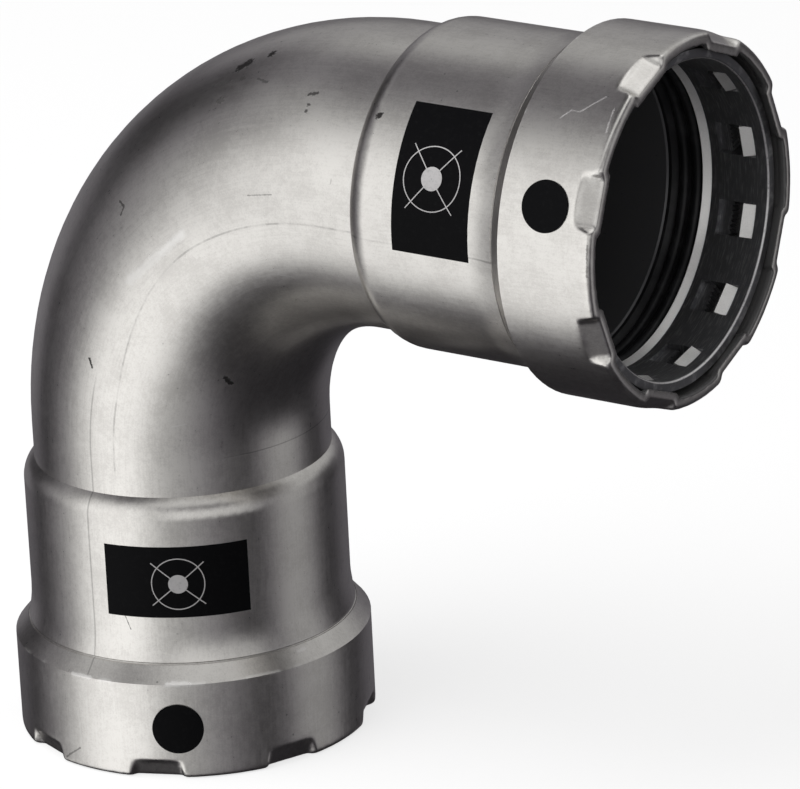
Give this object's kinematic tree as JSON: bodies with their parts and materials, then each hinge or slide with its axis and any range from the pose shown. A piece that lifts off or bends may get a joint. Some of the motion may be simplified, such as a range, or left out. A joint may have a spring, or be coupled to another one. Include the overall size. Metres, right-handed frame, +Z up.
{
  "type": "press elbow",
  "caption": "Ninety degree steel press elbow with stepped sockets, crimped collars, and a grip ring, separator ring and seal inside each mouth.",
  "frame": {"origin": "centre of the lower rim's plane, on the lower leg's axis", "axes": "+Z up the lower leg towards the bend, +X along the upper leg and out of its mouth"},
  "size_m": [0.243, 0.11, 0.243],
  "materials": {
    "plated_steel": "satin plated, fine grain",
    "bright_steel": "bright stainless",
    "black_cage": "satin black",
    "seal_rubber": "smooth black rubber",
    "black_print": "printed field"
  },
  "bodies": {
    "root": {"elbow_body": "plated_steel", "lower_grip_ring": "black_cage", "lower_grip_teeth": "bright_steel", "lower_separator_ring": "bright_steel", "lower_seal": "seal_rubber", "upper_grip_ring": "black_cage", "upper_grip_teeth": "bright_steel", "upper_separator_ring": "bright_steel", "upper_seal": "seal_rubber"}
  },
  "joints": []
}
